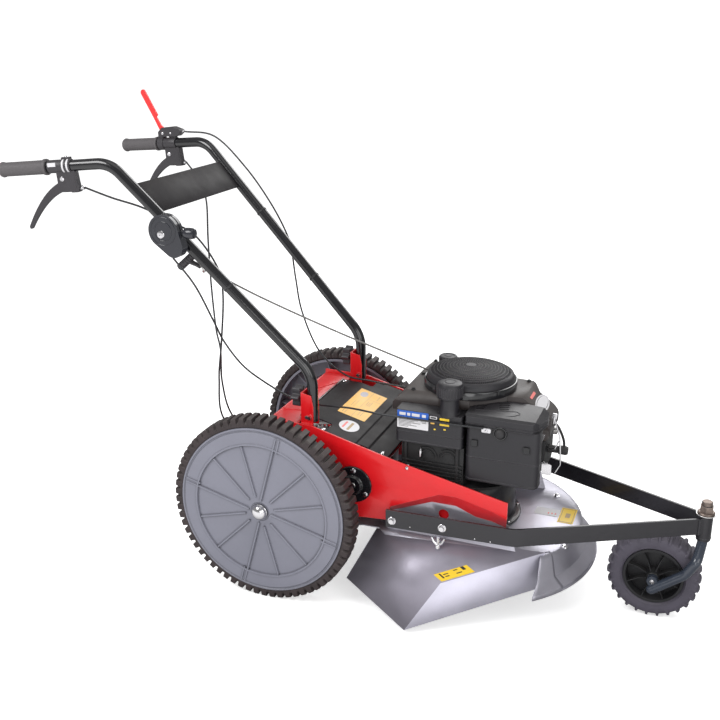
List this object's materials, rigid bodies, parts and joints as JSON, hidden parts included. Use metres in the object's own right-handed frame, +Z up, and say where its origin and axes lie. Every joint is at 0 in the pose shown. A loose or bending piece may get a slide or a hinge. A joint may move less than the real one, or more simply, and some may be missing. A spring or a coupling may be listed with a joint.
{
  "type": "brush mower",
  "caption": "Walk-behind brush mower: red chassis on large lugged wheels, vertical-shaft engine over a round deck with side chute, caster nose wheel, folding handlebar with levers.",
  "frame": {"origin": "on the ground, under the middle of the bounding box", "axes": "+X towards the front wheel, +Y towards the machine's left side, +Z up"},
  "size_m": [1.7914, 0.6777, 1.2298],
  "materials": {
    "red_paint": "gloss red powder coat",
    "grey_paint": "satin metallic grey",
    "black_paint": "satin black powder coat",
    "tube_black": "gloss black",
    "dark_grey": "satin dark grey",
    "disc_grey": "blue-grey moulded plastic",
    "black_plastic": "black moulded plastic",
    "red_plastic": "bright red moulded plastic",
    "engine_black": "textured black",
    "engine_brown": "textured brown-black",
    "rubber": "black rubber",
    "tyre": "dark brown-black rubber",
    "steel": "machined steel",
    "chrome": "polished",
    "cast": "cast aluminium",
    "iron": "dark cast iron"
  },
  "bodies": {
    "chassis": {"main_frame": "red_paint", "belt_cover": "black_paint", "front_frame": "black_paint", "cutter_deck": "grey_paint", "discharge_chute": "grey_paint", "spindle_housing": "black_paint", "gearbox": "cast", "shaft_flange_right": "black_paint", "shaft_flange_left": "black_paint", "drive_belt": "rubber", "drive_chain": "steel", "engine_block": "iron", "blower_housing": "engine_brown", "starter_screen": "engine_black", "fuel_tank": "engine_black", "air_filter_cover": "engine_black", "muffler": "iron", "spark_plug": "rubber"},
    "rear_axle": {"rear_axle": "steel"},
    "wheel_right": {"wheel_right": "disc_grey", "tyre_right": "tyre", "hub_cap_right": "chrome"},
    "wheel_left": {"wheel_left": "disc_grey", "tyre_left": "tyre", "hub_cap_left": "chrome"},
    "cross_shaft": {"cross_shaft": "steel"},
    "gearbox_pulley": {"gearbox_pulley": "iron"},
    "crankshaft": {"crankshaft": "steel", "flywheel": "cast"},
    "blade": {"blade": "steel", "blade_hub": "steel"},
    "idler_arm": {"idler_arm": "steel"},
    "idler_pulley": {"idler_pulley": "steel"},
    "caster_fork": {"caster_fork": "black_paint", "kingpin_nut": "steel"},
    "caster_wheel": {"caster_wheel": "black_plastic", "caster_tyre": "tyre"},
    "handlebar": {"handlebar_right": "tube_black", "handlebar_left": "tube_black", "crossbar_plate": "dark_grey", "grip_right": "rubber", "grip_left": "rubber", "lever_clamp_right": "black_plastic", "lever_clamp_left": "black_plastic", "stop_lever_housing": "black_plastic", "throttle_housing": "black_plastic", "throttle_cable": "rubber", "traction_cable": "rubber", "blade_cable": "rubber", "stop_cable": "rubber"},
    "traction_lever": {"traction_lever": "black_plastic"},
    "blade_lever": {"blade_lever": "black_plastic"},
    "stop_lever": {"stop_lever": "red_plastic"},
    "throttle_lever": {"throttle_lever": "black_plastic"},
    "starter_handle": {"starter_handle": "black_plastic"},
    "clamp_knob_right": {"clamp_knob_right": "black_plastic"},
    "clamp_knob_left": {"clamp_knob_left": "black_plastic"},
    "fuel_cap": {"fuel_cap": "engine_black"},
    "oil_cap": {"oil_cap": "engine_black"},
    "primer_bulb": {"primer_bulb": "rubber"}
  },
  "joints": [
    {"name": "handlebar_fold", "type": "hinge", "parent": "chassis", "child": "handlebar", "pos_m": [-0.08955, -0.00655, 0.475], "axis": [0, 1, 0], "range_deg": [0, 55], "deforming": ["throttle_cable", "traction_cable", "blade_cable", "stop_cable"]},
    {"name": "gearbox_pulley_spin", "type": "hinge", "parent": "chassis", "child": "gearbox_pulley", "pos_m": [0.03445, -0.00655, 0.272], "axis": [0, 0, 1], "continuous": true},
    {"name": "rear_axle_spin", "type": "hinge", "parent": "chassis", "child": "rear_axle", "pos_m": [-0.17955, -0.00655, 0.25], "axis": [0, 1, 0], "continuous": true},
    {"name": "cross_shaft_spin", "type": "hinge", "parent": "chassis", "child": "cross_shaft", "pos_m": [0.03445, -0.00655, 0.318], "axis": [0, 1, 0], "continuous": true},
    {"name": "wheel_right_spin", "type": "hinge", "parent": "rear_axle", "child": "wheel_right", "pos_m": [-0.17955, -0.28655, 0.25], "axis": [0, 1, 0], "continuous": true},
    {"name": "wheel_left_spin", "type": "hinge", "parent": "rear_axle", "child": "wheel_left", "pos_m": [-0.17955, 0.27345, 0.25], "axis": [0, 1, 0], "continuous": true},
    {"name": "crankshaft_spin", "type": "hinge", "parent": "chassis", "child": "crankshaft", "pos_m": [0.27545, -0.00655, 0.272], "axis": [0, 0, 1], "continuous": true},
    {"name": "blade_spin", "type": "hinge", "parent": "chassis", "child": "blade", "pos_m": [0.27545, -0.00655, 0.124], "axis": [0, 0, 1], "continuous": true},
    {"name": "idler_arm_swing", "type": "hinge", "parent": "chassis", "child": "idler_arm", "pos_m": [0.07545, -0.11655, 0.272], "axis": [0, 0, 1], "range_deg": [0, 8.5]},
    {"name": "idler_pulley_spin", "type": "hinge", "parent": "idler_arm", "child": "idler_pulley", "pos_m": [0.12045, -0.08155, 0.272], "axis": [0, 0, 1], "continuous": true},
    {"name": "caster_swivel", "type": "hinge", "parent": "chassis", "child": "caster_fork", "pos_m": [0.87445, -0.00655, 0.262], "axis": [0, 0, 1], "continuous": true},
    {"name": "caster_wheel_spin", "type": "hinge", "parent": "caster_fork", "child": "caster_wheel", "pos_m": [0.76945, -0.00655, 0.1144], "axis": [0, 1, 0], "continuous": true},
    {"name": "traction_lever_pull", "type": "hinge", "parent": "handlebar", "child": "traction_lever", "pos_m": [-0.72261, -0.25974, 1.05131], "axis": [-0.1293, 0.9916, 0], "range_deg": [0, 40]},
    {"name": "blade_lever_pull", "type": "hinge", "parent": "handlebar", "child": "blade_lever", "pos_m": [-0.72261, 0.24664, 1.05131], "axis": [0.1293, 0.9916, 0], "range_deg": [0, 40]},
    {"name": "stop_lever_turn", "type": "hinge", "parent": "handlebar", "child": "stop_lever", "pos_m": [-0.73986, 0.24889, 1.111], "axis": [0.1293, 0.9916, 0], "range_deg": [-50, 0]},
    {"name": "throttle_lever_turn", "type": "hinge", "parent": "handlebar", "child": "throttle_lever", "pos_m": [-0.45155, -0.25605, 0.938], "axis": [0, 1, 0], "range_deg": [-50, 0]},
    {"name": "starter_pull", "type": "slide", "parent": "handlebar", "child": "starter_handle", "axis": [-0.9501, 0, 0.312], "range_m": [0, 0.35]},
    {"name": "clamp_knob_right_turn", "type": "hinge", "parent": "chassis", "child": "clamp_knob_right", "pos_m": [-0.12685, -0.17655, 0.524], "axis": [1, 0, 0], "continuous": true},
    {"name": "clamp_knob_left_turn", "type": "hinge", "parent": "chassis", "child": "clamp_knob_left", "pos_m": [-0.12685, 0.16345, 0.524], "axis": [1, 0, 0], "continuous": true},
    {"name": "fuel_cap_turn", "type": "hinge", "parent": "chassis", "child": "fuel_cap", "pos_m": [0.26345, -0.15555, 0.566], "axis": [0, 0, 1], "range_deg": [0, 90]},
    {"name": "oil_cap_turn", "type": "hinge", "parent": "chassis", "child": "oil_cap", "pos_m": [0.18145, 0.11145, 0.5535], "axis": [0, 0, 1], "range_deg": [0, 90]},
    {"name": "primer_press", "type": "slide", "parent": "chassis", "child": "primer_bulb", "axis": [0, 1, 0], "range_m": [0, 0.005]}
  ],
  "couplings": [
    {"joint": "rear_axle_spin", "follows": "gearbox_pulley_spin", "ratio": 0.025},
    {"joint": "cross_shaft_spin", "follows": "gearbox_pulley_spin", "ratio": 0.08},
    {"joint": "idler_arm_swing", "follows": "traction_lever_pull", "ratio": 0.2125}
  ]
}
